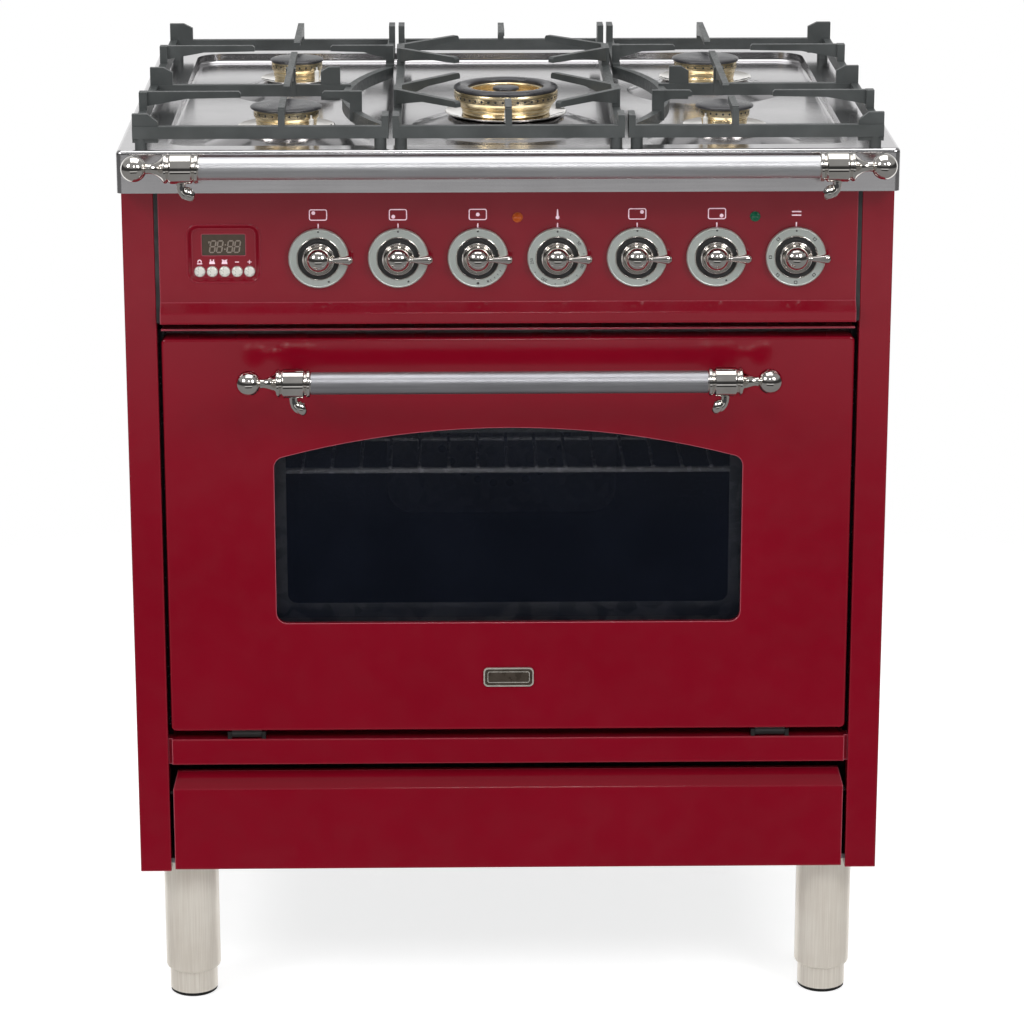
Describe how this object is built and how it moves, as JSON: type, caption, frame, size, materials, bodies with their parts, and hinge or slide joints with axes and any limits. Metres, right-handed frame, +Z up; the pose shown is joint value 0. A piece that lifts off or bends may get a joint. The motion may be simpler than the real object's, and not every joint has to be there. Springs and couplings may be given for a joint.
{
  "type": "freestanding gas range",
  "caption": "Freestanding gas range with burners under cast grates, a drop-down oven door, storage drawer, rail and tubular legs.",
  "frame": {"origin": "middle of the width and of the whole depth, on the floor", "axes": "+Z up, the front faces -Y, +X to the right seen from the front"},
  "size_m": [0.764, 0.6794, 0.951],
  "materials": {
    "enamel_red": "gloss vitreous enamel",
    "worktop_steel": "fine brushed",
    "brushed_steel": "brushed",
    "galvanised_steel": "galvanised",
    "chrome": "polished",
    "satin_metal": "satin plate with polished boss",
    "cast_iron": "matt enamelled",
    "brass": "turned",
    "black_enamel": "semi-gloss enamel",
    "oven_enamel": "speckled vitreous enamel",
    "ceramic": "glazed ceramic",
    "dark_glass": "dark tinted",
    "clear_glass": "clear",
    "lamp_plastic": "translucent coloured",
    "button_metal": "satin metallised",
    "glass_fibre": "braided rope"
  },
  "bodies": {
    "cabinet": {"side_panel_left": "enamel_red", "side_panel_right": "enamel_red", "lower_rail": "enamel_red", "control_panel": "enamel_red", "vent_trim": "enamel_red", "timer_bezel": "enamel_red", "worktop": "worktop_steel", "rail_tube": "brushed_steel", "leg_tubes": "brushed_steel", "back_panel": "galvanised_steel", "base_frame": "galvanised_steel", "drawer_runners": "galvanised_steel", "door_hinge_mounts": "galvanised_steel", "gas_manifold": "galvanised_steel", "fan_cover": "galvanised_steel", "grill_element": "galvanised_steel", "rail_posts": "chrome", "burner_cups": "chrome", "side_racks": "chrome", "flame_rings": "brass", "wok_flame_ring": "brass", "control_valves": "brass", "burner_caps": "black_enamel", "oven_cavity": "oven_enamel", "igniters": "ceramic", "timer_display": "dark_glass", "oven_lamp": "clear_glass", "indicator_lamps": "lamp_plastic", "oven_gasket": "glass_fibre"},
    "oven_door": {"door_panel": "enamel_red", "door_glass": "dark_glass", "door_inner_glass": "clear_glass", "door_liner": "galvanised_steel", "door_handle_bar": "brushed_steel", "door_handle_posts": "chrome", "door_hinge_arms": "galvanised_steel", "door_badge": "chrome"},
    "drawer": {"drawer_front": "enamel_red", "drawer_box": "galvanised_steel"},
    "oven_shelf": {"oven_shelf": "chrome"},
    "oven_fan": {"oven_fan": "galvanised_steel"},
    "grate_left": {"grate_left": "cast_iron"},
    "grate_centre": {"grate_centre": "cast_iron"},
    "grate_right": {"grate_right": "cast_iron"},
    "knob_rear_left": {"knob_rear_left": "satin_metal"},
    "knob_front_left": {"knob_front_left": "satin_metal"},
    "knob_wok": {"knob_wok": "satin_metal"},
    "knob_oven": {"knob_oven": "satin_metal"},
    "knob_rear_right": {"knob_rear_right": "satin_metal"},
    "knob_front_right": {"knob_front_right": "satin_metal"},
    "knob_selector": {"knob_selector": "satin_metal"},
    "button_bell": {"button_bell": "button_metal"},
    "button_cook_time": {"button_cook_time": "button_metal"},
    "button_end_time": {"button_end_time": "button_metal"},
    "button_minus": {"button_minus": "button_metal"},
    "button_plus": {"button_plus": "button_metal"},
    "foot_front_left": {"foot_front_left": "brushed_steel"},
    "foot_front_right": {"foot_front_right": "brushed_steel"},
    "foot_rear_left": {"foot_rear_left": "brushed_steel"},
    "foot_rear_right": {"foot_rear_right": "brushed_steel"}
  },
  "joints": [
    {"name": "door_hinge", "type": "hinge", "parent": "cabinet", "child": "oven_door", "pos_m": [0, -0.25125, 0.3005], "axis": [1, 0, 0], "range_deg": [0, 90]},
    {"name": "drawer_slide", "type": "slide", "parent": "cabinet", "child": "drawer", "axis": [0, -1, 0], "range_m": [0, 0.34]},
    {"name": "shelf_slide", "type": "slide", "parent": "cabinet", "child": "oven_shelf", "axis": [0, -1, 0], "range_m": [0, 0.035]},
    {"name": "fan_spin", "type": "hinge", "parent": "cabinet", "child": "oven_fan", "pos_m": [0, 0.24475, 0.51], "axis": [0, 1, 0], "continuous": true},
    {"name": "grate_left_lift", "type": "slide", "parent": "cabinet", "child": "grate_left", "axis": [0, 0, 1], "range_m": [0, 0.15]},
    {"name": "grate_centre_lift", "type": "slide", "parent": "cabinet", "child": "grate_centre", "axis": [0, 0, 1], "range_m": [0, 0.15]},
    {"name": "grate_right_lift", "type": "slide", "parent": "cabinet", "child": "grate_right", "axis": [0, 0, 1], "range_m": [0, 0.15]},
    {"name": "knob_rear_left_turn", "type": "hinge", "parent": "cabinet", "child": "knob_rear_left", "pos_m": [-0.1872, -0.25525, 0.799], "axis": [0, -1, 0], "range_deg": [0, 270]},
    {"name": "knob_front_left_turn", "type": "hinge", "parent": "cabinet", "child": "knob_front_left", "pos_m": [-0.1087, -0.25525, 0.799], "axis": [0, -1, 0], "range_deg": [0, 270]},
    {"name": "knob_wok_turn", "type": "hinge", "parent": "cabinet", "child": "knob_wok", "pos_m": [-0.0302, -0.25525, 0.799], "axis": [0, -1, 0], "range_deg": [0, 270]},
    {"name": "knob_oven_turn", "type": "hinge", "parent": "cabinet", "child": "knob_oven", "pos_m": [0.0483, -0.25525, 0.799], "axis": [0, -1, 0], "range_deg": [0, 300]},
    {"name": "knob_rear_right_turn", "type": "hinge", "parent": "cabinet", "child": "knob_rear_right", "pos_m": [0.1268, -0.25525, 0.799], "axis": [0, -1, 0], "range_deg": [0, 270]},
    {"name": "knob_front_right_turn", "type": "hinge", "parent": "cabinet", "child": "knob_front_right", "pos_m": [0.2053, -0.25525, 0.799], "axis": [0, -1, 0], "range_deg": [0, 270]},
    {"name": "knob_selector_turn", "type": "hinge", "parent": "cabinet", "child": "knob_selector", "pos_m": [0.2838, -0.25525, 0.799], "axis": [0, -1, 0], "continuous": true},
    {"name": "button_bell_press", "type": "slide", "parent": "cabinet", "child": "button_bell", "axis": [0, 1, 0], "range_m": [0, 0.0015], "stiffness_N_per_m": 400, "springref_m": -0.001},
    {"name": "button_cook_time_press", "type": "slide", "parent": "cabinet", "child": "button_cook_time", "axis": [0, 1, 0], "range_m": [0, 0.0015], "stiffness_N_per_m": 400, "springref_m": -0.001},
    {"name": "button_end_time_press", "type": "slide", "parent": "cabinet", "child": "button_end_time", "axis": [0, 1, 0], "range_m": [0, 0.0015], "stiffness_N_per_m": 400, "springref_m": -0.001},
    {"name": "button_minus_press", "type": "slide", "parent": "cabinet", "child": "button_minus", "axis": [0, 1, 0], "range_m": [0, 0.0015], "stiffness_N_per_m": 400, "springref_m": -0.001},
    {"name": "button_plus_press", "type": "slide", "parent": "cabinet", "child": "button_plus", "axis": [0, 1, 0], "range_m": [0, 0.0015], "stiffness_N_per_m": 400, "springref_m": -0.001},
    {"name": "foot_front_left_level", "type": "slide", "parent": "cabinet", "child": "foot_front_left", "axis": [0, 0, -1], "range_m": [0, 0.045]},
    {"name": "foot_front_right_level", "type": "slide", "parent": "cabinet", "child": "foot_front_right", "axis": [0, 0, -1], "range_m": [0, 0.045]},
    {"name": "foot_rear_left_level", "type": "slide", "parent": "cabinet", "child": "foot_rear_left", "axis": [0, 0, -1], "range_m": [0, 0.045]},
    {"name": "foot_rear_right_level", "type": "slide", "parent": "cabinet", "child": "foot_rear_right", "axis": [0, 0, -1], "range_m": [0, 0.045]}
  ]
}
